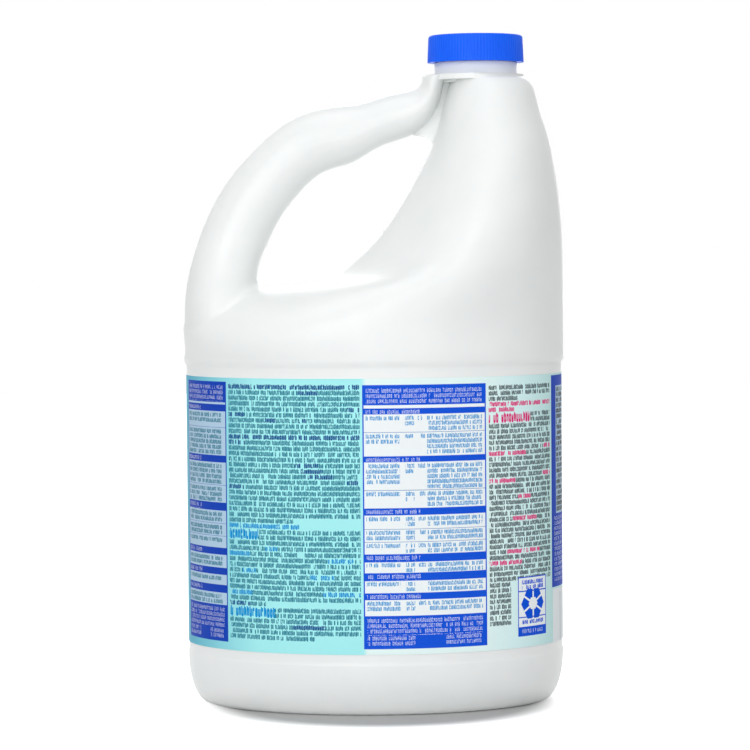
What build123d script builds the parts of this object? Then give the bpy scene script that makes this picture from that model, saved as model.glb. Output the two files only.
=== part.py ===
from build123d import *
from math import cos, hypot, pi, sin
import os

# Blow-moulded bleach jug with a hollow side handle, an offset neck, a screw cap and a wrap-around
# label. Millimetres, +Z up, origin at the middle of the base where it stands. The two mould halves
# meet in the XZ plane, the handle is on the -X side and the neck stands towards +X.

# Body
body_half_width = 86.0
body_half_depth = 64.0
wall = 1.0
base_draw_in = 0.7
base_round_height = 22.0
base_round_steps = 6
foot_width_inset = 9.0
foot_depth_inset = 7.0
foot_ring_width = 8.0
push_up_height = 5.0
push_up_slope_run = 14.0

# Label film
label_bottom = 27.3
label_height = 120.7
label_thickness = 0.2
label_gap = 0.1

# Recessed panel round the label
label_margin_below = 3.8
label_margin_above = 5.0
panel_recess = 1.1
panel_step_height = 1.6
panel_bottom = label_bottom - label_margin_below
panel_top = label_bottom + label_height + label_margin_above

# Shoulder, handle and the shelf under the neck
shoulder_rise = 3.0
shoulder_bottom = panel_top + shoulder_rise
shelf_radius = 24.8
groove_offset = 12.2
handle_half_depth = 14.0
handle_root_fillet = 5.0
web_thickness = 3.0
ledge_radius = 21.8
ledge_thickness = 2.4

# Neck
neck_inset = 38.9
neck_height = 15.7
collar_radius = 18.65
collar_height = 5.4
finish_radius = 17.5
bore_radius = 15.6
mouth_height = 298.2

# Thread that the neck and the cap share
thread_pitch = 4.233
thread_depth = 1.15
thread_root_width = 2.4
thread_crest_width = 1.2
thread_turns = 1.1
thread_start_drop = 7.0
thread_clearance = 0.35
thread_bite = 0.3
cap_thread_turns = 0.8

# Cap and the sealing disc inside it
cap_drop = 10.1
cap_height = 12.2
cap_radius = 21.8
cap_taper = 0.5
cap_edge_round = 1.3
cap_rib_count = 96
cap_rib_depth = 0.3
liner_thickness = 0.9
liner_clearance = 0.3

# Cuts run past the faces that they cut by this much
overrun = 5.0

# A quartic Bezier quarter with these shares is a true ellipse
ellipse_nose_share = 0.414
ellipse_full_share = 0.552
crown_lead_share = 0.414

# Spans across the shoulder and the column, bottom to top. Each runs from a left end on the rim of
# the hand hole to a right end on the outer side, and bulges to its depth at the crown:
# left along, left up, right in, right up, depth, crown place, nose, fullness.
column_span_shares = [
    (0.000, 0.000, 0.00, 0.000, 1.000, 0.500, 0.414, 0.552),
    (0.000, 0.070, 0.00, 0.072, 1.000, 0.500, 0.414, 0.552),
    (0.007, 0.138, 0.00, 0.133, 0.992, 0.520, 0.340, 0.420),
    (0.079, 0.200, 0.00, 0.198, 0.975, 0.557, 0.260, 0.220),
    (0.207, 0.236, 0.00, 0.261, 0.955, 0.575, 0.220, 0.080),
    (0.343, 0.244, 0.00, 0.328, 0.935, 0.586, 0.220, 0.030),
    (0.476, 0.257, 0.01, 0.403, 0.910, 0.584, 0.230, 0.050),
    (0.596, 0.305, 0.05, 0.486, 0.875, 0.583, 0.240, 0.100),
    (0.702, 0.391, 0.13, 0.581, 0.825, 0.577, 0.260, 0.180),
    (0.794, 0.500, 0.26, 0.676, 0.755, 0.564, 0.290, 0.280),
    (0.872, 0.626, 0.42, 0.767, 0.670, 0.550, 0.330, 0.380),
    (0.935, 0.747, 0.60, 0.834, 0.575, 0.523, 0.370, 0.480),
    (0.975, 0.877, 0.80, 0.909, 0.470, 0.500, 0.414, 0.552),
    (1.000, 0.965, 0.97, 0.965, 0.390, 0.500, 0.414, 0.552),
    (1.003, 0.990, 1.18, 0.990, 0.345, 0.500, 0.414, 0.552),
]

# Spans across the handle, from its root in the shoulder round the hand hole to the neck:
# inner along, inner up, outer along, outer up, depth in handle depths.
handle_span_shares = [
    (0.298, 0.024, 0.024, 0.024, 2.20),
    (0.290, 0.134, 0.003, 0.134, 2.05),
    (0.279, 0.229, 0.009, 0.232, 1.72),
    (0.280, 0.308, 0.024, 0.309, 1.40),
    (0.304, 0.379, 0.059, 0.419, 1.17),
    (0.363, 0.492, 0.157, 0.609, 1.05),
    (0.439, 0.586, 0.294, 0.760, 1.02),
    (0.529, 0.658, 0.438, 0.859, 1.00),
    (0.606, 0.681, 0.567, 0.890, 0.97),
    (0.666, 0.706, 0.658, 0.898, 0.93),
    (0.734, 0.744, 0.724, 0.915, 0.90),
    (0.802, 0.768, 0.790, 0.933, 0.90),
    (0.860, 0.788, 0.842, 0.943, 0.93),
    (0.917, 0.830, 0.880, 0.957, 0.98),
    (0.967, 0.915, 0.898, 0.981, 1.06),
    (0.992, 0.997, 0.903, 0.997, 1.10),
]

# Corners of the flat web between the elbow and the column: along, up
web_corner_shares = [(0.82, 0.82), (0.873, 0.784), (0.915, 0.782), (0.938, 0.757), (0.930, 0.720),
                     (0.970, 0.720), (1.010, 0.985), (0.940, 0.985)]

neck_x = body_half_width - neck_inset
groove_x = neck_x - groove_offset
shelf_height = mouth_height - neck_height
thread_start_height = mouth_height - thread_start_drop
cap_bottom = mouth_height - cap_drop
cap_top = cap_bottom + cap_height
cap_bore_radius = finish_radius + thread_depth + thread_clearance


def along(share):
    """Place across the bottle, from its left side to the groove under the neck."""
    return -body_half_width + share * (groove_x + body_half_width)


def in_from_right(share):
    """Place across the bottle, from its right side in to the shelf under the neck."""
    return body_half_width - share * (body_half_width - neck_x - shelf_radius)


def up(share):
    """Height on the shoulder, from its bottom to the shelf under the neck."""
    return shoulder_bottom + share * (shelf_height - shoulder_bottom)


def ring(left, right, top, crown=0.5, nose=ellipse_nose_share, full=ellipse_full_share, inset=0.0):
    """Closed section across a span of the XZ plane: four quarter curves between ends and crowns."""
    length = hypot(right[0] - left[0], right[1] - left[1])
    step = ((right[0] - left[0]) / length, (right[1] - left[1]) / length)
    peak = length * crown

    def place(run, rise):
        return (left[0] + step[0] * run, rise, left[1] + step[1] * run)

    def quarter(tip, nose, full, side):
        run = peak - tip
        return [
            place(tip, 0),
            place(tip, side * nose * top),
            place(tip + run * (1 - full) / 2, side * top * (1 + full) / 2),
            place(peak - run * crown_lead_share, side * top),
            place(peak, side * top),
        ]

    end = length - inset
    first = Bezier(*quarter(inset, nose, full, -1))
    second = Bezier(*reversed(quarter(end, ellipse_nose_share, ellipse_full_share, -1)))
    third = Bezier(*quarter(end, ellipse_nose_share, ellipse_full_share, 1))
    fourth = Bezier(*reversed(quarter(inset, nose, full, 1)))
    return Wire([first, second, third, fourth])


def body_ring(height, width_inset=0.0, depth_inset=0.0):
    """The body's oval at a height, drawn in by one amount at its sides and another front and back."""
    left = (-body_half_width + width_inset, height)
    right = (body_half_width - width_inset, height)
    return ring(left, right, body_half_depth - depth_inset)


def base(inset=0.0):
    """Rounded foot of the body, a quarter ellipse in side view."""
    rings = []
    side = base_draw_in + inset
    for step in range(base_round_steps + 1):
        turn = pi / 2 * step / base_round_steps
        height = inset + (base_round_height - inset) * (1 - cos(turn))
        draw_in = 1 - sin(turn)
        rings.append(body_ring(height, side + (foot_width_inset - base_draw_in) * draw_in,
                               side + (foot_depth_inset - base_draw_in) * draw_in))
    return Solid.make_loft(rings)


def belt(inset=0.0):
    """Straight middle of the body, stepped in where the label sits."""
    half_step = panel_step_height / 2
    levels = [
        (base_round_height, base_draw_in),
        (panel_bottom - half_step, base_draw_in),
        (panel_bottom + half_step, panel_recess),
        (panel_top - half_step, panel_recess),
        (panel_top + half_step, 0.0),
        (shoulder_bottom, 0.0),
    ]
    rings = [body_ring(height, recess + inset, recess + inset) for height, recess in levels]
    return Solid.make_loft(rings, ruled=True)


def push_up(grow=0.0):
    """Shallow dome under the base, which leaves a ring to stand on."""
    width_inset = foot_width_inset + foot_ring_width - grow
    depth_inset = foot_depth_inset + foot_ring_width - grow
    rings = [
        body_ring(-overrun, width_inset, depth_inset),
        body_ring(grow, width_inset, depth_inset),
        body_ring(push_up_height + grow, width_inset + push_up_slope_run, depth_inset + push_up_slope_run),
    ]
    return Solid.make_loft(rings, ruled=True)


def column(inset=0.0):
    """Shoulder and column, from the oval body up to the shelf under the neck. Low spans run along the
    rim of the hand hole, so an inner wall is dropped square to each span as well as drawn in along it."""
    rims = [Vector(along(row[0]), up(row[1])) for row in column_span_shares]
    sides = [Vector(in_from_right(row[2]), up(row[3])) for row in column_span_shares]
    rings = []
    for i, row in enumerate(column_span_shares):
        span = (sides[i] - rims[i]).normalized()
        rise = (rims[min(i + 1, len(rims) - 1)] - rims[max(i - 1, 0)]).normalized()
        inward = Vector(rise.Y, -rise.X)
        drop = (inward - span * inward.dot(span)) * inset
        left = rims[i] + inward * inset
        right = sides[i] + drop - span * inset
        rings.append(ring((left.X, left.Y), (right.X, right.Y), row[4] * body_half_depth - inset, *row[5:]))
    return Solid.make_loft(rings)


def handle(inset=0.0):
    """Hollow handle, from its root in the shoulder to the elbow beside the column."""
    rings = []
    for inner, inner_up, outer, outer_up, depth in handle_span_shares:
        rings.append(ring((along(outer), up(outer_up)), (along(inner), up(inner_up)),
                          depth * handle_half_depth - inset, inset=inset))
    return Solid.make_loft(rings)


def web():
    """Pinched web between the elbow and the column, where the mould halves meet."""
    corners = [(along(x), 0, up(z)) for x, z in web_corner_shares]
    plate = Face(Wire.make_polygon(corners))
    return extrude(plate, web_thickness / 2, dir=(0, 1, 0), both=True)


def cylinder_at_neck(radius, bottom, top):
    disc = Plane((neck_x, 0, bottom)) * Circle(radius)
    return extrude(disc, top - bottom)


def thread(radius, outward, turns):
    """One ridge of thread, standing out from a neck (outward 1) or into a bore (outward -1)."""
    coil = Helix(thread_pitch, thread_pitch * turns, radius, center=(neck_x, 0, 0))
    crest = outward * thread_depth
    foot = -outward * thread_bite
    outline = [
        (foot, -thread_root_width / 2),
        (0, -thread_root_width / 2),
        (crest, -thread_crest_width / 2),
        (crest, thread_crest_width / 2),
        (0, thread_root_width / 2),
        (foot, thread_root_width / 2),
    ]
    profile = Face(Wire.make_polygon([(neck_x + radius + out, 0, rise) for out, rise in outline]))
    return sweep(profile, path=coil, is_frenet=True)


def bottle():
    """The whole blown bottle in one piece, with a true wall all round."""
    neck = cylinder_at_neck(ledge_radius, shelf_height - ledge_thickness, shelf_height)
    neck += cylinder_at_neck(collar_radius, shelf_height - ledge_thickness, shelf_height + collar_height)
    neck += cylinder_at_neck(finish_radius, shelf_height, mouth_height)
    neck += Pos(0, 0, thread_start_height) * thread(finish_radius, 1, thread_turns)
    body = base() + belt() + column()
    grip = handle()
    joined = body + grip
    halfway = (shoulder_bottom + shelf_height) / 2
    root = [edge for edge in new_edges(body, grip, combined=joined) if edge.center().Z < halfway]
    outside = joined.fillet(handle_root_fillet, root) + web() + neck - push_up()
    inside = base(wall) + belt(wall) + column(wall) + handle(wall) - push_up(wall)
    column_top = up(column_span_shares[-1][1])
    roof = Pos(0, 0, column_top - wall) * Box(2 * body_half_width, 2 * body_half_depth, neck_height,
                                             align=(Align.CENTER, Align.CENTER, Align.MIN))
    bore = cylinder_at_neck(bore_radius, shelf_height - ledge_thickness - wall, mouth_height + overrun)
    return outside - (inside - roof) - bore


def label():
    """Wrap-around label in its recessed panel."""
    inner_inset = panel_recess - label_gap
    outer_inset = inner_inset - label_thickness
    inner = Face(body_ring(label_bottom, inner_inset, inner_inset))
    outer = Face(body_ring(label_bottom, outer_inset, outer_inset))
    return extrude(outer, label_height, dir=(0, 0, 1)) - extrude(inner, label_height, dir=(0, 0, 1))


def rib_star(height, radius):
    """Outline of the cap's fine grip ribs at a height."""
    points = []
    for rib in range(2 * cap_rib_count):
        reach = radius if rib % 2 == 0 else radius - cap_rib_depth
        turn = pi * rib / cap_rib_count
        points.append((neck_x + reach * cos(turn), reach * sin(turn), height))
    return Wire.make_polygon(points)


def cap():
    """Screw cap: a ribbed, slightly tapered skirt with a thread inside."""
    crown_radius = cap_radius - cap_taper
    shoulder = (crown_radius, cap_top - cap_edge_round)
    flat_edge = (crown_radius - cap_edge_round, cap_top)
    side = Polyline((0, cap_top), (0, cap_bottom), (cap_radius, cap_bottom), shoulder)
    edge_round = RadiusArc(shoulder, flat_edge, -cap_edge_round)
    lid = Line(flat_edge, (0, cap_top))
    half = Plane.XZ * make_face([side, edge_round, lid])
    smooth = Pos(neck_x, 0, 0) * revolve(half, Axis.Z)
    star = Solid.make_loft([rib_star(cap_bottom, cap_radius), rib_star(cap_top, crown_radius)], ruled=True)
    hollow = cylinder_at_neck(cap_bore_radius, cap_bottom - overrun, mouth_height + liner_thickness)
    ridge = Pos(0, 0, thread_start_height - thread_pitch / 2) * thread(cap_bore_radius, -1, cap_thread_turns)
    start = (thread_turns - cap_thread_turns)
    ridge = Pos(0, 0, thread_pitch * start) * ridge.rotate(Axis((neck_x, 0, 0), (0, 0, 1)), 360 * start)
    return (smooth & star) - hollow + ridge


def cap_liner():
    """Soft sealing disc between the bottle's lip and the top of the cap."""
    return cylinder_at_neck(cap_bore_radius - liner_clearance, mouth_height, mouth_height + liner_thickness)


os.makedirs("parts", exist_ok=True)
export_step(bottle(), "parts/bottle.step")
export_step(label(), "parts/label.step")
export_step(cap(), "parts/cap.step")
export_step(cap_liner(), "parts/cap_liner.step")
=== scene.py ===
import math

import bmesh
import bpy
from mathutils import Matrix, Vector


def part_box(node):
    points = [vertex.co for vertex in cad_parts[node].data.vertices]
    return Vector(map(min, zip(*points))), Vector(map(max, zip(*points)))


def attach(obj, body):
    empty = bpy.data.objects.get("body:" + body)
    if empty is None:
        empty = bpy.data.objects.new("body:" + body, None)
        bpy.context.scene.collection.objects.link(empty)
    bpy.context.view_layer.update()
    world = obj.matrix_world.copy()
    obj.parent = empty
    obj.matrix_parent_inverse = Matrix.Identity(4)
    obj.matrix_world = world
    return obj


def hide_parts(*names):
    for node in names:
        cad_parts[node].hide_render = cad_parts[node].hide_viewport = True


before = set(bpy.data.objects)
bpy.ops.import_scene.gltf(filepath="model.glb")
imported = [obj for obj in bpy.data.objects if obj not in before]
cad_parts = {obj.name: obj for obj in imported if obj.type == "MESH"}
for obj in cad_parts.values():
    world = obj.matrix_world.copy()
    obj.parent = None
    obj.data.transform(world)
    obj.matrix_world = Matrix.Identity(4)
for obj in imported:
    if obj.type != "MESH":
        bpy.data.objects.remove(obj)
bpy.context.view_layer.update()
mm = 0.001
weldGap = 0.01  # mm, below which corners of a CAD mesh are one
print("frame loaded")


# Linear colour of an sRGB hex code
def paint(code):
    channels = [int(code[i:i + 2], 16) / 255 for i in (1, 3, 5)]
    return [c / 12.92 if c <= 0.04045 else ((c + 0.055) / 1.055) ** 2.4 for c in channels] + [1.0]


# Each input is named by its identifier, name or number, and gets a value, a socket, or the first live output
# of a node
def setInputs(tree, node, inputs):
    for name, value in inputs.items():
        socket = next((one for one in node.inputs if one.identifier == name), None) or node.inputs[name]
        if isinstance(value, bpy.types.Node):
            value = next(one for one in value.outputs if one.enabled)
        if isinstance(value, bpy.types.NodeSocket):
            tree.links.new(value, socket)
        else:
            socket.default_value = value


# Adds a node with its settings and links: values fill its first inputs in order, and inputs fills others
def addNode(tree, kind, *values, inputs=None, **settings):
    node = tree.nodes.new(kind)
    for name, value in settings.items():  # first, because they decide which inputs and outputs are live
        setattr(node, name, value)
    setInputs(tree, node, {**dict(enumerate(values)), **(inputs or {})})
    return node


def newMaterial(name):
    material = bpy.data.materials.new(name)
    material.use_nodes = True
    return material, material.node_tree, material.node_tree.nodes["Principled BSDF"]


# Object coordinates in millimetres, so that a pattern's scale is one over its real size
def objectPlace(tree):
    place = addNode(tree, "ShaderNodeTexCoord").outputs["Object"]
    return addNode(tree, "ShaderNodeVectorMath", place, inputs={"Scale": 1 / mm}, operation="SCALE")


def meshObject(name, mesh):
    thing = bpy.data.objects.new(name, mesh)
    bpy.context.scene.collection.objects.link(thing)
    return thing


# Copy of a CAD node with its loose triangles welded, smooth where faces meet below an angle in degrees
def smoothCopy(node, name, angle, extra=None):
    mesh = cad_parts[node].data.copy()
    mesh.name = name
    work = bmesh.new()
    work.from_mesh(mesh)
    bmesh.ops.remove_doubles(work, verts=work.verts, dist=weldGap * mm)
    if extra:
        extra(work)
    work.to_mesh(mesh)
    work.free()
    mesh.shade_smooth()
    mesh.set_sharp_from_angle(angle=math.radians(angle))
    mesh.materials.clear()
    thing = meshObject(name, mesh)
    weighted = thing.modifiers.new("weightedNormals", "WEIGHTED_NORMAL")  # fillets then shade evenly
    weighted.keep_sharp = True
    settled = thing.evaluated_get(bpy.context.evaluated_depsgraph_get())
    thing.data = bpy.data.meshes.new_from_object(settled)
    thing.data.name = name
    thing.modifiers.clear()
    bpy.data.meshes.remove(mesh)
    return thing


# High-density polyethylene, blow moulded: waxy white with a satin skin that lets a little light in, and the
# slow ripple of a wall that cooled against the mould. The real skin's grain is finer, and is drawn coarser
# here to show.
bottleLook = {"colour": "#F3F5F4", "shade": "#EAEEED", "roughness": 0.36, "roughnessSpread": 0.12,
              "skinSize": 0.9, "skinDepth": 0.02, "skinStrength": 0.2,
              "rippleSize": 22.0, "rippleDepth": 0.5, "rippleStrength": 0.25,
              "ior": 1.52, "sinkWeight": 0.2, "sinkDepth": 2.0, "sinkShares": (1.0, 1.0, 0.9),
              "smoothAngle": 22.0}


def bottlePlastic():
    material, tree, shader = newMaterial("blow moulded white polyethylene")
    place = objectPlace(tree)
    ripple = addNode(tree, "ShaderNodeTexNoise",
                     inputs={"Vector": place, "Scale": 1 / bottleLook["rippleSize"], "Detail": 2.0})
    skin = addNode(tree, "ShaderNodeTexNoise", inputs={
        "Vector": place, "Scale": 1 / bottleLook["skinSize"], "Detail": 4.0, "Roughness": 0.6})
    colour = addNode(tree, "ShaderNodeMix", data_type="RGBA", inputs={
        "Factor_Float": ripple, "A_Color": paint(bottleLook["colour"]),
        "B_Color": paint(bottleLook["shade"])})
    spread = bottleLook["roughnessSpread"]
    rough = addNode(tree, "ShaderNodeMath", skin, spread, bottleLook["roughness"] - spread / 2,
                    operation="MULTIPLY_ADD")
    wave = addNode(tree, "ShaderNodeBump", inputs={
        "Height": ripple, "Strength": bottleLook["rippleStrength"],
        "Distance": bottleLook["rippleDepth"] * mm})
    grain = addNode(tree, "ShaderNodeBump", inputs={
        "Height": skin, "Strength": bottleLook["skinStrength"], "Distance": bottleLook["skinDepth"] * mm,
        "Normal": wave})
    setInputs(tree, shader, {
        "Base Color": colour, "Roughness": rough, "Normal": grain, "IOR": bottleLook["ior"],
        "Subsurface Weight": bottleLook["sinkWeight"], "Subsurface Radius": bottleLook["sinkShares"],
        "Subsurface Scale": bottleLook["sinkDepth"] * mm})
    return material


# Wall in the groove under the ledge, in mm: a crescent between an arc round the neck and the column's oval
seatLook = {"neckX": 47.1, "arcRadius": 15.8, "arcTurn": 55.0, "ovalX": 53.3, "ovalHalf": (17.6, 22.9),
            "ovalTurn": 33.4, "bottom": 279.05, "top": 280.15, "steps": 24}


def ledgeSeat(work):
    steps, radius = seatLook["steps"], seatLook["arcRadius"]
    wide, deep = seatLook["ovalHalf"]
    outline = []
    for i in range(steps + 1):
        turn = math.radians(seatLook["arcTurn"] * (2 * i / steps - 1))
        outline.append((seatLook["neckX"] - radius * math.cos(turn), radius * math.sin(turn)))
    for i in range(steps + 1):
        turn = math.radians(seatLook["ovalTurn"] * (1 - 2 * i / steps))
        outline.append((seatLook["ovalX"] - wide * math.cos(turn), deep * math.sin(turn)))
    low, high = [[work.verts.new((x * mm, y * mm, z * mm)) for x, y in outline]
                 for z in (seatLook["bottom"], seatLook["top"])]
    count = len(outline)
    for i in range(count):
        k = (i + 1) % count
        work.faces.new((low[i], high[i], high[k], low[k]))
    for i in range(steps):
        across = count - 1 - i  # the oval's corner opposite this one on the arc
        work.faces.new((low[i], low[i + 1], low[across - 1], low[across]))
        work.faces.new((high[i], high[across], high[across - 1], high[i + 1]))


bottle = smoothCopy("bottle", "bottleShell", bottleLook["smoothAngle"], ledgeSeat)
bottle.data.materials.append(bottlePlastic())
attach(bottle, "bottle")
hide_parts("bottle")
print("bottle made")


# Polypropylene, injection moulded: a full, even blue with a soft sheen. Its grain is drawn coarser too.
capLook = {"colour": "#0668FF", "shade": "#065CF8", "roughness": 0.4, "roughnessSpread": 0.14, "gloss": 0.18,
           "flowSize": 9.0, "skinSize": 0.7, "skinDepth": 0.02, "skinStrength": 0.25, "smoothAngle": 20.0}


def capPlastic():
    material, tree, shader = newMaterial("injection moulded blue polypropylene")
    place = objectPlace(tree)
    flow = addNode(tree, "ShaderNodeTexNoise",
                   inputs={"Vector": place, "Scale": 1 / capLook["flowSize"], "Detail": 2.0})
    skin = addNode(tree, "ShaderNodeTexNoise",
                   inputs={"Vector": place, "Scale": 1 / capLook["skinSize"], "Detail": 3.0})
    colour = addNode(tree, "ShaderNodeMix", data_type="RGBA", inputs={
        "Factor_Float": flow, "A_Color": paint(capLook["colour"]), "B_Color": paint(capLook["shade"])})
    spread = capLook["roughnessSpread"]
    rough = addNode(tree, "ShaderNodeMath", skin, spread, capLook["roughness"] - spread / 2,
                    operation="MULTIPLY_ADD")
    grain = addNode(tree, "ShaderNodeBump", inputs={
        "Height": skin, "Strength": capLook["skinStrength"], "Distance": capLook["skinDepth"] * mm})
    setInputs(tree, shader, {"Base Color": colour, "Roughness": rough, "Normal": grain,
                             "Specular IOR Level": capLook["gloss"]})
    return material


cap = smoothCopy("cap", "screwCap", capLook["smoothAngle"])
cap.data.materials.append(capPlastic())
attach(cap, "cap")
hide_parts("cap")

# Polyethylene foam, punched from sheet: matt off-white with fine open cells
linerLook = {"colour": "#ECECE6", "pit": "#D9D9D2", "cell": 0.35, "roughness": 0.7, "pitDepth": 0.05,
             "pitStrength": 0.4, "smoothAngle": 40.0}


def linerFoam():
    material, tree, shader = newMaterial("foamed polyethylene disc")
    cells = addNode(tree, "ShaderNodeTexVoronoi",
                    inputs={"Vector": objectPlace(tree), "Scale": 1 / linerLook["cell"]})
    colour = addNode(tree, "ShaderNodeMix", data_type="RGBA", inputs={
        "Factor_Float": cells, "A_Color": paint(linerLook["pit"]), "B_Color": paint(linerLook["colour"])})
    dents = addNode(tree, "ShaderNodeBump", inputs={
        "Height": cells, "Strength": linerLook["pitStrength"], "Distance": linerLook["pitDepth"] * mm})
    setInputs(tree, shader, {"Base Color": colour, "Roughness": linerLook["roughness"], "Normal": dents})
    return material


liner = smoothCopy("cap_liner", "capLiner", linerLook["smoothAngle"])
liner.data.materials.append(linerFoam())
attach(liner, "liner")
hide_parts("cap_liner")
print("cap made")


# Polypropylene film with a matt varnish: flat, full colours with hardly a highlight. The print is plain
# fields of colour and rows of strokes that only look like small type.
# The darker cyans for the label's left edge and right flank are painted shade, not print.
inks = {
    "cyan": "#AAF4F6", "paintedShadeEdgeCyan": "#5FB8D4", "iceCyan": "#EAFEFC", "paleCyan": "#DEFBFC",
    "shadedCyan": "#CEF2F2", "white": "#F4FAFC", "columnGrey": "#B8D4EA", "royal": "#0052DC",
    # The deep blue also stands for painted shade: on the narrow panel at the left edge it takes the place of
    # the royal print.
    "deepBlueAndPaintedShade": "#0540B8", "teal": "#167690", "boldTeal": "#064C8C", "sky": "#1293D6", "grey": "#384850",
    "black": "#20262A", "pink": "#E02A7E", "rule": "#6C92C8", "line": "#5F6F78",
}
filmLook = {"roughness": 0.5, "gloss": 0.07, "grain": 1.4, "grainShare": 0.06, "grainColour": "#808890"}

# Ground colours along the label from the middle of the back, round the front, to the back again, in mm. The
# darker cyan at the left edge and the shaded cyan on the right flank are painted shade where the label turns
# away from the lamps.
groundStops = [(-234.0, "cyan"), (-150.0, "cyan"), (-104.0, "paintedShadeEdgeCyan"), (-54.0, "cyan"), (-5.5, "cyan"),
               (-5.2, "iceCyan"), (44.0, "iceCyan"), (70.0, "paleCyan"), (91.0, "shadedCyan"),
               (130.0, "shadedCyan"), (200.0, "cyan"), (234.0, "cyan")]

# Made-up letters as shares of their cell: where their strokes stand, and from which chance each has one
typeLook = {"foot": 0.10, "lowTop": 0.74, "tallTop": 0.94, "leftStem": 0.20, "rightStem": 0.68,
            "barMiddle": 0.44, "barHalf": 0.30, "barInset": 0.05, "barShare": 0.8,
            "gapUpTo": 0.12, "tallFrom": 0.68, "rightFrom": 0.25, "topFrom": 0.4, "footUpTo": 0.7,
            "middleFrom": 0.6, "seedStep": 31.0}
typeDefaults = {"rowPitch": 2.45, "letterPitch": 0.68, "weight": 0.11, "seed": 1.0}


# Node group that draws rows of such letters, with places in mm
def typeGroup():
    tree = bpy.data.node_groups.new("rowsOfType", "ShaderNodeTree")
    for name in ("Across", "Height", "Row Pitch", "Letter Pitch", "Weight", "Seed"):
        tree.interface.new_socket(name=name, in_out="INPUT", socket_type="NodeSocketFloat")
    tree.interface.new_socket(name="Ink", in_out="OUTPUT", socket_type="NodeSocketFloat")
    given = addNode(tree, "NodeGroupInput").outputs
    row = addNode(tree, "ShaderNodeMath", given["Height"], given["Row Pitch"], operation="DIVIDE")
    rowNumber = addNode(tree, "ShaderNodeMath", row, operation="FLOOR")
    rise = addNode(tree, "ShaderNodeMath", row, operation="FRACT")
    letter = addNode(tree, "ShaderNodeMath", given["Across"], given["Letter Pitch"], operation="DIVIDE")
    letterNumber = addNode(tree, "ShaderNodeMath", letter, operation="FLOOR")
    run = addNode(tree, "ShaderNodeMath", letter, operation="FRACT")
    seeded = addNode(tree, "ShaderNodeMath", given["Seed"], typeLook["seedStep"], rowNumber,
                     operation="MULTIPLY_ADD")
    cell = addNode(tree, "ShaderNodeCombineXYZ", letterNumber, seeded)
    chance = addNode(tree, "ShaderNodeTexWhiteNoise", inputs={"Vector": cell}, noise_dimensions="2D").outputs
    first, second, third = addNode(tree, "ShaderNodeSeparateColor", chance["Color"]).outputs

    foot, lowTop, tallTop, inset = (typeLook[part] for part in ("foot", "lowTop", "tallTop", "barInset"))
    stem = given["Weight"]
    bar = addNode(tree, "ShaderNodeMath", stem, typeLook["barShare"], operation="MULTIPLY")
    tall = addNode(tree, "ShaderNodeMath", second, typeLook["tallFrom"], operation="GREATER_THAN")
    top = addNode(tree, "ShaderNodeMath", tall, tallTop - lowTop, lowTop, operation="MULTIPLY_ADD")
    tests = {
        "inWord": ("GREATER_THAN", chance["Value"], typeLook["gapUpTo"]),
        "aboveFoot": ("GREATER_THAN", rise, foot),
        "belowTop": ("LESS_THAN", rise, top),
        "belowLowTop": ("LESS_THAN", rise, lowTop),
        "atLeft": ("COMPARE", run, typeLook["leftStem"], stem),
        "atRight": ("COMPARE", run, typeLook["rightStem"], stem),
        "between": ("COMPARE", run, typeLook["barMiddle"], typeLook["barHalf"]),
        "atTop": ("COMPARE", rise, lowTop - inset, bar),
        "atFoot": ("COMPARE", rise, foot + inset, bar),
        "atMiddle": ("COMPARE", rise, (foot + lowTop) / 2, bar),
        "hasRight": ("GREATER_THAN", first, typeLook["rightFrom"]),
        "hasTop": ("GREATER_THAN", third, typeLook["topFrom"]),
        "hasFoot": ("LESS_THAN", third, typeLook["footUpTo"]),
        "hasMiddle": ("GREATER_THAN", first, typeLook["middleFrom"]),
    }
    holds = {name: addNode(tree, "ShaderNodeMath", *values, operation=operation)
             for name, (operation, *values) in tests.items()}

    def joined(values, operation):
        result = values[0]
        for value in values[1:]:
            result = addNode(tree, "ShaderNodeMath", result, value, operation=operation)
        return result

    strokes = [("atLeft", "aboveFoot", "belowTop"), ("atRight", "aboveFoot", "belowLowTop", "hasRight"),
               ("between", "atTop", "hasTop"), ("between", "atFoot", "hasFoot"),
               ("between", "atMiddle", "hasMiddle")]
    drawn = [joined([holds[name] for name in stroke], "MULTIPLY") for stroke in strokes]
    addNode(tree, "NodeGroupOutput", joined([joined(drawn, "MAXIMUM"), holds["inWord"]], "MULTIPLY"))
    return tree


rowsOfType = typeGroup()


# Place on the label in mm: along its curve from the middle of the front, and height
def labelPlace(tree):
    uv = addNode(tree, "ShaderNodeUVMap", uv_map="labelPlace")
    spot = addNode(tree, "ShaderNodeVectorMath", uv, inputs={"Scale": 1 / mm}, operation="SCALE")
    return addNode(tree, "ShaderNodeSeparateXYZ", spot).outputs[:2]


def groundRamp(tree, across):
    start, end = groundStops[0][0], groundStops[-1][0]
    passed = addNode(tree, "ShaderNodeMath", across, start, operation="SUBTRACT")
    share = addNode(tree, "ShaderNodeMath", passed, end - start, operation="DIVIDE")
    ramp = addNode(tree, "ShaderNodeValToRGB", share)
    elements = ramp.color_ramp.elements
    while len(elements) < len(groundStops):
        elements.new(0.5)
    for element, (place, ink) in zip(elements, groundStops):
        element.position = (place - start) / (end - start)
        element.color = paint(inks[ink])
    return ramp
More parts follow.
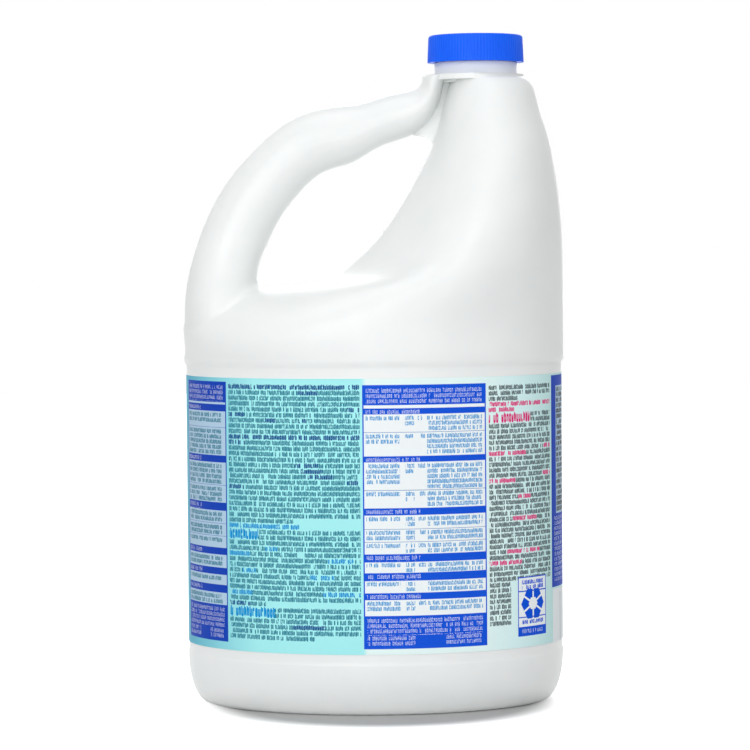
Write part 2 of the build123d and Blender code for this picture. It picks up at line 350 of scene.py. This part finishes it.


# Printed film: a ground colour, or the cyan ramp along the label with its painted shade at both edges where
# ground is None, with rows of type in an ink
def printed(name, ground, ink, rowPitch, letterPitch, weight, seed):
    material, tree, shader = newMaterial(name)
    across, height = labelPlace(tree)
    colour = groundRamp(tree, across) if ground is None else paint(inks[ground])
    grain = addNode(tree, "ShaderNodeTexNoise",
                    inputs={"Vector": objectPlace(tree), "Scale": 1 / filmLook["grain"], "Detail": 3.0})
    tone = addNode(tree, "ShaderNodeMath", grain, filmLook["grainShare"], operation="MULTIPLY")
    colour = addNode(tree, "ShaderNodeMix", data_type="RGBA", inputs={
        "Factor_Float": tone, "A_Color": colour, "B_Color": paint(filmLook["grainColour"])})
    if ink:
        strokes = addNode(tree, "ShaderNodeGroup", across, height, rowPitch, letterPitch, weight, seed,
                          node_tree=rowsOfType)
        colour = addNode(tree, "ShaderNodeMix", data_type="RGBA",
                         inputs={"Factor_Float": strokes, "A_Color": colour, "B_Color": paint(inks[ink])})
    setInputs(tree, shader, {"Base Color": colour, "Roughness": filmLook["roughness"],
                             "Specular IOR Level": filmLook["gloss"]})
    return material


fields = []  # left, right, bottom, top and the name of the print; a later field covers an earlier one
prints = {}
pitches = {}


def field(left, right, bottom, top, film):
    fields.append((left, right, bottom, top, film))


def addPrint(name, ground, ink=None, **values):
    settings = {**typeDefaults, **values}
    prints[name] = printed(name, ground, ink, **settings)
    pitches[name] = settings["rowPitch"]
    return name


ground = addPrint("printed cyan ground", None)
royal = addPrint("printed royal blue", "royal")
deepBlueAndPaintedShade = addPrint("printed deep blue", "deepBlueAndPaintedShade")
white = addPrint("printed white panel", "white")
greyPanel = addPrint("printed grey white panel", "columnGrey")
ruled = addPrint("thin printed rule", "rule")
darkLine = addPrint("thin dark line", "line")
royalType = addPrint("white type on royal blue", "royal", "white", rowPitch=2.3, letterPitch=0.8, weight=0.05,
                     seed=2.0)
typeOnDeepBlueAndPaintedShade = addPrint("white type on deep blue", "deepBlueAndPaintedShade", "white", rowPitch=2.3, letterPitch=0.8, weight=0.04,
                    seed=14.0)
whiteType = addPrint("sky type on white", "white", "sky", rowPitch=2.3, weight=0.14, seed=3.0)
greyType = addPrint("teal type on grey white", "columnGrey", "teal", rowPitch=2.3, weight=0.15, seed=4.0)
readingType = addPrint("teal type on cyan", None, "teal", weight=0.17, seed=5.0)
readingBold = addPrint("bold type on cyan", None, "boldTeal", letterPitch=0.8, weight=0.2, seed=12.0)
readingHead = addPrint("sky type on cyan", None, "sky", letterPitch=0.8, weight=0.19, seed=6.0)
largeHead = addPrint("large sky type on cyan", None, "sky", rowPitch=4.9, letterPitch=1.5, weight=0.2,
                     seed=17.0)
notesType = addPrint("grey type on pale cyan", None, "grey", rowPitch=2.42, weight=0.17, seed=8.0)
notesPink = addPrint("pink type on pale cyan", None, "pink", rowPitch=2.42, letterPitch=0.8, weight=0.2,
                    seed=9.0)
largePink = addPrint("large pink type on pale cyan", None, "pink", rowPitch=4.84, letterPitch=1.4,
                     weight=0.17, seed=10.0)
sideType = addPrint("black type on grey white", "columnGrey", "black", letterPitch=0.9, weight=0.2, seed=11.0)
boxType = addPrint("blue type on white", "white", "royal", rowPitch=2.2, letterPitch=1.1, weight=0.17,
                   seed=13.0)


# Rows of type in a column, counted down from its first row: first row, number of rows, print, start and end
def printRows(column, blocks):
    for first, count, film, start, end in blocks:
        top = column["top"] - first * column["pitch"]
        field(start, end, column["top"] - (first + count) * column["pitch"], top, film)


# Long column of small type on cyan. Places run along the label from the middle of the front, heights from its
# foot, in mm. A phrase is its row, start and end.
reading = {
    "left": -69.4, "right": -6.4, "top": 118.3, "pitch": 2.45,
    "bold": [(0, -69.4, -6.4), (1, -34.0, -25.0), (4, -12.0, -6.4), (5, -69.4, -60.5), (6, -50.0, -44.5),
             (6, -33.5, -30.0), (9, -69.4, -6.4), (10, -69.4, -60.0), (14, -35.5, -25.0), (15, -33.5, -23.0),
             (16, -31.0, -18.5), (17, -12.0, -6.4), (18, -69.4, -60.0), (39, -69.4, -58.0),
             (43, -37.0, -22.0)],
    "sky": [(30, -69.4, -58.0), (31, -21.0, -9.5), (33, -62.0, -55.0), (34, -29.0, -18.0), (37, -69.4, -57.0),
            (37, -23.0, -6.6), (29, -50.0, -44.0)],
}


def readingColumn():
    left, right = reading["left"], reading["right"]
    printRows(reading, [
        (0, 24, readingType, left, right), (24, 1, readingType, left, -36.5),
        (25, 1, readingHead, left, -33.0), (26, 20, readingType, left, right),
        (26, 2, largeHead, left, -53.5), (40, 2, largeHead, left, -45.5)])
    printRows(reading, [(row, 1, readingBold, start, end) for row, start, end in reading["bold"]])
    printRows(reading, [(row, 1, readingHead, start, end) for row, start, end in reading["sky"]])
    printRows(reading, [(39, 1, ground, -50.0, right), (45, 1, ground, -27.0, right)])


# Two ruled panels in a thin blue frame. A cell is its top and the number of rows in each span of the panel.
table = {
    "left": -4.6, "right": 50.2, "pitch": 2.3, "header": (109.1, 117.3), "foot": (3.1, 17.0),
    "bars": [(105.1, 107.7), (84.2, 86.8), (61.0, 64.1), (40.5, 44.0), (32.3, 35.8), (24.0, 27.0)],
    "rules": [97.2, 71.9, 54.9, 49.3],
    "spans": [(-3.8, 11.0), (13.4, 17.4), (19.0, 22.2), (23.2, 48.8)],
    "cells": [(104.7, (1, 2, 1, 3)), (96.8, (2, 1, 1, 4)), (83.8, (4, 2, 1, 5)), (71.6, (1, 2, 1, 3)),
              (60.7, (1, 2, 1, 2)), (54.7, (2, 2, 1, 2)), (49.0, (1, 2, 1, 2)), (40.5, (1, 2, 1, 2)),
              (32.2, (1, 2, 0, 2)), (23.7, (2, 2, 1, 2))],
}
narrow = {
    "left": -104.0, "right": -71.4, "pitch": 2.3, "header": (109.7, 118.3), "foot": (4.1, 19.7),
    "bars": [(105.7, 108.8), (83.0, 86.1), (61.6, 65.2), (42.0, 45.1), (33.1, 36.2), (25.1, 28.6)],
    "rules": [98.5, 72.9, 55.9, 50.3],
    "spans": [(-103.0, -74.0)],
    "cells": [(105.3, (2,)), (98.0, (5,)), (82.6, (4,)), (72.4, (3,)), (61.2, (2,)), (55.4, (2,)),
              (49.8, (1,)), (41.6, (2,)), (32.7, (1,)), (24.7, (2,))],
}
panelLook = {"frame": 0.6, "typeLeft": 1.0, "typeRight": 1.6, "headerFoot": 0.4, "headerTop": 0.6,
             "barTypeLeft": 0.8, "barTypeEnd": 0.45, "barTypeInset": 0.3, "ruleHalf": 0.12,
             "footSplit": 5.4, "footInset": 0.8, "footLeftEnd": 0.4, "footRightStart": 0.35, "footRight": 2.4}


def panelColumn(column, panel, panelType, blue, blueType):
    left, right, look = column["left"], column["right"], panelLook
    wide = right - left
    (headerLow, headerHigh), (footLow, footHigh) = column["header"], column["foot"]
    edge = look["frame"]
    field(left - edge, right + edge, footLow - edge, headerHigh + edge, blue)
    field(left, right, footLow, headerHigh, panel)
    field(left, right, headerLow, headerHigh, blue)
    field(left + look["typeLeft"], right - look["typeRight"], headerLow + look["headerFoot"],
          headerHigh - look["headerTop"], blueType)
    for low, high in column["bars"]:
        field(left, right, low, high, blue)
        field(left + look["barTypeLeft"], left + look["barTypeEnd"] * wide, low + look["barTypeInset"],
              high - look["barTypeInset"], blueType)
    for height in column["rules"]:
        field(left, right, height - look["ruleHalf"], height + look["ruleHalf"], ruled)
    field(left, right, footLow, footHigh, blue)
    split, inset = footLow + look["footSplit"], look["footInset"]
    field(left + look["typeLeft"], right - look["typeRight"], split, footHigh - inset, blueType)
    field(left + look["typeLeft"], left + look["footLeftEnd"] * wide, footLow + inset, split, blueType)
    field(right - look["footRightStart"] * wide, right - look["footRight"], footLow + inset, split, blueType)
    for top, counts in column["cells"]:
        for (start, end), count in zip(column["spans"], counts):
            if count:
                field(start, end, top - count * column["pitch"], top, panelType)


# Grey small type with pink phrases, narrower beside the boxed panel
notes = {
    "left": 52.2, "right": 91.0, "top": 117.1, "pitch": 2.42,
    "pink": [(11, 85.0, 91.0), (12, 52.2, 73.0), (16, 84.0, 91.0), (17, 52.2, 66.5), (20, 68.0, 76.0),
             (24, 65.0, 80.0), (30, 61.0, 82.0), (32, 52.2, 70.0)],
}


def notesColumn():
    left, right = notes["left"], notes["right"]
    printRows(notes, [
        (0, 36, notesType, left, right), (36, 8, notesType, left, 63.6), (2, 1, ground, 68.0, right),
        (3, 1, notesPink, left, right), (4, 1, notesPink, left, 66.0), (4, 1, ground, 66.0, right),
        (5, 2, largePink, left, 76.0)])
    printRows(notes, [(row, 1, notesPink, start, end) for row, start, end in notes["pink"]])


# Blue outlined box with type at its head, a ring of six blocks and a blue foot bar
boxLook = {"left": 67.6, "right": 86.8, "bottom": 4.9, "top": 31.3, "line": 0.5, "bar": 4.2, "typeSide": 2.4,
           "headTop": 1.2, "headFoot": 5.6, "headRule": 6.4, "footInset": 0.9, "barTypeTop": 0.7,
           "markDrop": 11.6, "markOuter": 6.7, "markInner": 2.6, "markSlit": 0.45}


def boxedMark():
    name = "blue ring of blocks on white"
    material, tree, shader = newMaterial(name)
    across, height = labelPlace(tree)
    middle = (boxLook["left"] + boxLook["right"]) / 2
    x = addNode(tree, "ShaderNodeMath", across, middle, operation="SUBTRACT")
    y = addNode(tree, "ShaderNodeMath", height, boxLook["markDrop"], operation="ADD")

    def offLines(turns, operation):  # how far a place lies off lines through the middle, at turns in degrees
        result = None
        for turn in map(math.radians, turns):
            along = addNode(tree, "ShaderNodeMath", x, math.cos(turn), operation="MULTIPLY")
            off = addNode(tree, "ShaderNodeMath", y, math.sin(turn), along, operation="MULTIPLY_ADD")
            off = addNode(tree, "ShaderNodeMath", off, operation="ABSOLUTE")
            result = addNode(tree, "ShaderNodeMath", result, off, operation=operation) if result else off
        return result

    reach = offLines((30, 90, 150), "MAXIMUM")
    slit = offLines((0, 60, 120), "MINIMUM")
    inOuter = addNode(tree, "ShaderNodeMath", reach, boxLook["markOuter"], operation="LESS_THAN")
    offInner = addNode(tree, "ShaderNodeMath", reach, boxLook["markInner"], operation="GREATER_THAN")
    offSlit = addNode(tree, "ShaderNodeMath", slit, boxLook["markSlit"], operation="GREATER_THAN")
    ring = addNode(tree, "ShaderNodeMath", inOuter, offInner, operation="MULTIPLY")
    blocks = addNode(tree, "ShaderNodeMath", ring, offSlit, operation="MULTIPLY")
    colour = addNode(tree, "ShaderNodeMix", data_type="RGBA", inputs={
        "Factor_Float": blocks, "A_Color": paint(inks["white"]), "B_Color": paint(inks["royal"])})
    setInputs(tree, shader, {"Base Color": colour, "Roughness": filmLook["roughness"],
                             "Specular IOR Level": filmLook["gloss"]})
    prints[name] = material
    return name


def boxedPanel():
    left, right, bottom, top, line, bar, side, inset = (boxLook[part] for part in (
        "left", "right", "bottom", "top", "line", "bar", "typeSide", "footInset"))
    field(left, right, bottom, top, royal)
    field(left + line, right - line, bottom + bar, top - line, boxedMark())
    field(left + side, right - side, top - boxLook["headFoot"], top - boxLook["headTop"], boxType)
    for height in (bottom + 2 * bar, top - boxLook["headRule"]):
        field(left + line, right - line, height - line / 2, height + line / 2, royal)
    field(left + side, right - side, bottom + bar + inset, bottom + 2 * bar - inset, boxType)
    field(left + side, right - side, bottom + inset, bottom + bar - boxLook["barTypeTop"], royalType)


# Blue framed panel round the edge, with rows of dark type above and white type below
side = {"left": 93.6, "right": 112.0, "band": (-0.8, 24.7, 119.9), "panel": (4.4, 57.7, 115.1),
        "dark": (5.0, 58.2, 114.9), "light": (2.0, 26.7, 56.9), "plain": (0.0, 0.0, 23.9),
        "line": (103.3, 103.8, 0.0, 22.0)}


def sideBand():
    for part, film in (("band", deepBlueAndPaintedShade), ("panel", greyPanel), ("dark", sideType), ("light", typeOnDeepBlueAndPaintedShade),
                       ("plain", white)):
        inset, bottom, top = side[part]
        field(side["left"] + inset, side["right"], bottom, top, film)
    field(*side["line"], darkLine)


readingColumn()
panelColumn(table, white, whiteType, royal, royalType)
# The narrow panel at the left edge takes the deep blue and sparser white type in place of royal: painted
# shade where the label turns away from the lamps.
panelColumn(narrow, greyPanel, greyType, deepBlueAndPaintedShade, typeOnDeepBlueAndPaintedShade)
notesColumn()
boxedPanel()
sideBand()
print("label fields", len(fields))

# The film, in mm. rowStep is how many rows of made-up letters one field is ahead of the last, so none repeat.
labelLook = {"thickness": 0.2, "step": 2.4, "ovalSteps": 1440, "leastCut": 0.05, "rowStep": 7,
             "smoothAngle": 40.0}


# The oval as (length from the front, x, y), from the middle of the back round to it again
def ovalPlaces(width, depth):
    points = []
    for i in range(labelLook["ovalSteps"] + 1):
        turn = -math.pi + 2 * math.pi * i / labelLook["ovalSteps"]
        points.append((width * math.sin(turn), -depth * math.cos(turn)))
    lengths = [0.0]
    for first, second in zip(points, points[1:]):
        lengths.append(lengths[-1] + math.dist(first, second))
    half = lengths[-1] / 2
    return [(length - half, x, y) for length, (x, y) in zip(lengths, points)]


def onOval(places, length):
    before, after = 0, len(places) - 1
    while after - before > 1:
        middle = (before + after) // 2
        if places[middle][0] <= length:
            before = middle
        else:
            after = middle
    (a, ax, ay), (b, bx, by) = places[before], places[after]
    share = (length - a) / (b - a)
    return ax + (bx - ax) * share, ay + (by - ay) * share


# Sorted cuts without near doubles
def tidyCuts(places):
    kept = []
    for place in sorted(places):
        if not kept or place - kept[-1] > labelLook["leastCut"]:
            kept.append(place)
    return kept


# Name of the print at a place on the label, and the height that its rows count down from
def printAt(across, height):
    name, start = ground, 0.0
    for number, (left, right, bottom, top, film) in enumerate(fields):
        if left < across < right and bottom < height < top:
            name, start = film, top + labelLook["rowStep"] * number * pitches.get(film, 0.0)
    return name, start


# One closed band of film, cut along the edges of every field
def labelMesh():
    nearCorner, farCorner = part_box("label")
    width, depth = farCorner[0] / mm, -nearCorner[1] / mm
    floor = nearCorner[2] / mm
    tall = farCorner[2] / mm - floor
    places = ovalPlaces(width, depth)
    half = places[-1][0]
    steps = int(2 * half / labelLook["step"])
    across = {-half, half}
    across.update(min(max(place, -half), half) for item in fields for place in item[:2])
    across.update(-half + 2 * half * i / steps for i in range(steps + 1))
    across = tidyCuts(across)
    heights = {0.0, tall}
    heights.update(place for item in fields for place in item[2:4] if 0 < place < tall)
    heights = tidyCuts(heights)

    names = list(prints)
    work = bmesh.new()
    uv = work.loops.layers.uv.new("labelPlace")
    columns = [onOval(places, place) for place in across[:-1]]
    count = len(columns)
    thickness = labelLook["thickness"]

    def ring(height, shareX=1.0, shareY=1.0):
        return [work.verts.new((x * shareX * mm, y * shareY * mm, (floor + height) * mm)) for x, y in columns]

    def quad(corners, spots, name):
        face = work.faces.new(corners)
        face.material_index = names.index(name)
        for loop, (u, v) in zip(face.loops, spots):
            loop[uv].uv = (u * mm, v * mm)

    outer = [ring(height) for height in heights]
    low, high = heights[0], heights[-1]
    inner = [ring(height, (width - thickness) / width, (depth - thickness) / depth) for height in (low, high)]
    for j, (bottom, top) in enumerate(zip(heights, heights[1:])):
        for i, (left, right) in enumerate(zip(across, across[1:])):
            k = (i + 1) % count
            name, start = printAt((left + right) / 2, (bottom + top) / 2)
            foot, head = bottom - start, top - start
            quad((outer[j][i], outer[j][k], outer[j + 1][k], outer[j + 1][i]),
                 ((left, foot), (right, foot), (right, head), (left, head)), name)
    for i, (left, right) in enumerate(zip(across, across[1:])):  # the film's inside and its two edges
        k = (i + 1) % count
        quad((inner[0][k], inner[0][i], inner[1][i], inner[1][k]),
             ((right, low), (left, low), (left, high), (right, high)), white)
        quad((outer[-1][i], outer[-1][k], inner[1][k], inner[1][i]),
             ((left, high), (right, high), (right, high), (left, high)), white)
        quad((outer[0][k], outer[0][i], inner[0][i], inner[0][k]),
             ((right, low), (left, low), (left, low), (right, low)), white)
    mesh = bpy.data.meshes.new("printedLabel")
    work.normal_update()
    work.to_mesh(mesh)
    work.free()
    mesh.shade_smooth()
    mesh.set_sharp_from_angle(angle=math.radians(labelLook["smoothAngle"]))
    for name in names:
        mesh.materials.append(prints[name])
    return mesh


label = meshObject("printedLabel", labelMesh())
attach(label, "bottle")
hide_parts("label")
print("label made", len(label.data.polygons))


# Painted board: a matt pale floor with a painted shadow at the bottle's foot: inside an oval set forward and
# to the right, the floor is the darker foot grey and lacks the glow that makes the rest plain white, which
# deepens the lamps' own shadow. Sizes and places are in metres, toneSize in mm. The white starts and ends at
# shares of the painted shadow's size.
stageLook = {"floor": "#CFCFCF", "shade": "#C6C6C6", "foot": "#AEAEAE", "glow": "#FFFFFF", "toneSize": 60.0,
             "roughness": 0.8, "floorSize": 6.0, "shadowPlace": (0.003, -0.022), "shadowSize": (0.070, 0.066),
             "glowStart": 0.9, "glowEnd": 1.26, "room": 0.5, "seenRoom": 1.0, "aim": (0.0, 0.0, 0.15)}

# Name, place, width and height in metres, and power in watts
lights = [
    ("keyLight", (-0.7, -2.0, 0.95), (1.3, 1.3), 17.0),
    ("frontLight", (0.3, -2.2, 0.12), (1.4, 0.5), 9.0),
    ("topLight", (-0.2, -0.2, 1.7), (1.4, 1.0), 5.4),
    ("fillLight", (1.7, -1.3, 0.6), (0.9, 0.9), 1.5),
    ("backLight", (0.1, 2.2, 0.7), (1.2, 1.2), 11.0),
]


# 1 for what the camera sees, directly, in a reflection or through a clear body
def seenRay(tree):
    paths = addNode(tree, "ShaderNodeLightPath").outputs
    mirrored = addNode(tree, "ShaderNodeMath", paths["Is Glossy Ray"], paths["Is Transmission Ray"],
                       operation="MAXIMUM")
    return addNode(tree, "ShaderNodeMath", paths["Is Camera Ray"], mirrored, operation="MAXIMUM")


def floorPaint():
    material, tree, shader = newMaterial("matt white studio floor")
    place = addNode(tree, "ShaderNodeTexCoord").outputs["Object"]
    spot = addNode(tree, "ShaderNodeSeparateXYZ", place).outputs
    squares = []
    for axis in (0, 1):
        middle, size = stageLook["shadowPlace"][axis], stageLook["shadowSize"][axis]
        off = addNode(tree, "ShaderNodeMath", spot[axis], middle, operation="SUBTRACT")
        ratio = addNode(tree, "ShaderNodeMath", off, size, operation="DIVIDE")
        squares.append(addNode(tree, "ShaderNodeMath", ratio, ratio, operation="MULTIPLY"))
    total = addNode(tree, "ShaderNodeMath", *squares, operation="ADD")
    far = addNode(tree, "ShaderNodeMath", total, operation="SQRT")
    glow = addNode(tree, "ShaderNodeMapRange", interpolation_type="SMOOTHSTEP", inputs={
        "Value": far, "From Min": stageLook["glowStart"], "From Max": stageLook["glowEnd"], "To Min": 0.0,
        "To Max": 1.0})
    seenGlow = addNode(tree, "ShaderNodeMath", glow, seenRay(tree), operation="MULTIPLY")
    tone = addNode(tree, "ShaderNodeTexNoise",
                   inputs={"Vector": objectPlace(tree), "Scale": 1 / stageLook["toneSize"], "Detail": 2.0})
    plain = addNode(tree, "ShaderNodeMix", data_type="RGBA", inputs={
        "Factor_Float": tone, "A_Color": paint(stageLook["floor"]), "B_Color": paint(stageLook["shade"])})
    # Painted shadow: the darker foot grey inside the oval, where the glow is missing
    colour = addNode(tree, "ShaderNodeMix", data_type="RGBA", inputs={
        "Factor_Float": glow, "A_Color": paint(stageLook["foot"]), "B_Color": plain})
    setInputs(tree, shader, {"Base Color": colour, "Roughness": stageLook["roughness"],
                             "Emission Color": paint(stageLook["glow"]), "Emission Strength": seenGlow})
    return material


def floorPlane():
    half = stageLook["floorSize"] / 2
    mesh = bpy.data.meshes.new("studioFloor")
    corners = [(-half, -half, 0), (half, -half, 0), (half, half, 0), (-half, half, 0)]
    mesh.from_pydata(corners, [], [(0, 1, 2, 3)])
    mesh.materials.append(floorPaint())
    return meshObject("studioFloor", mesh)


floorPlane()


# A soft rectangular light turned to the middle of the bottle
def areaLight(name, place, size, power):
    lamp = bpy.data.lights.new(name, "AREA")
    lamp.shape = "RECTANGLE"
    lamp.size, lamp.size_y = size
    lamp.energy = power
    thing = bpy.data.objects.new(name, lamp)
    bpy.context.scene.collection.objects.link(thing)
    thing.location = place
    turn = (Vector(stageLook["aim"]) - Vector(place)).to_track_quat("-Z", "Y")
    thing.rotation_euler = turn.to_euler()


for lightRow in lights:
    areaLight(*lightRow)


# Even white surroundings, at full white where the camera sees them
def whiteRoom():
    world = bpy.data.worlds.new("whiteRoom")
    world.use_nodes = True
    tree = world.node_tree
    power = addNode(tree, "ShaderNodeMath", seenRay(tree), stageLook["seenRoom"] - stageLook["room"],
                    stageLook["room"], operation="MULTIPLY_ADD")
    setInputs(tree, tree.nodes["Background"], {"Color": paint(stageLook["glow"]), "Strength": power})
    bpy.context.scene.world = world


whiteRoom()

# Camera: in front at the height of the column, looking slightly down. Sizes in mm, turns in degrees.
cameraPlace = {"distance": 1480.0, "height": 208.0, "focal": 156.5, "sensor": 36.0, "tilt": 2.36,
               "roll": 0.45, "shiftX": 0.0029}
camera = bpy.data.cameras.new("photoCamera")
camera.lens = cameraPlace["focal"]
camera.sensor_width = cameraPlace["sensor"]
camera.shift_x = cameraPlace["shiftX"]
cameraObject = bpy.data.objects.new("photoCamera", camera)
bpy.context.scene.collection.objects.link(cameraObject)
cameraObject.location = (0.0, -cameraPlace["distance"] * mm, cameraPlace["height"] * mm)
downward = math.radians(90.0 - cameraPlace["tilt"])
cameraObject.rotation_euler = (downward, math.radians(cameraPlace["roll"]), 0.0)
bpy.context.scene.camera = cameraObject
bpy.context.scene.view_settings.view_transform = "Standard"
print("stage set")
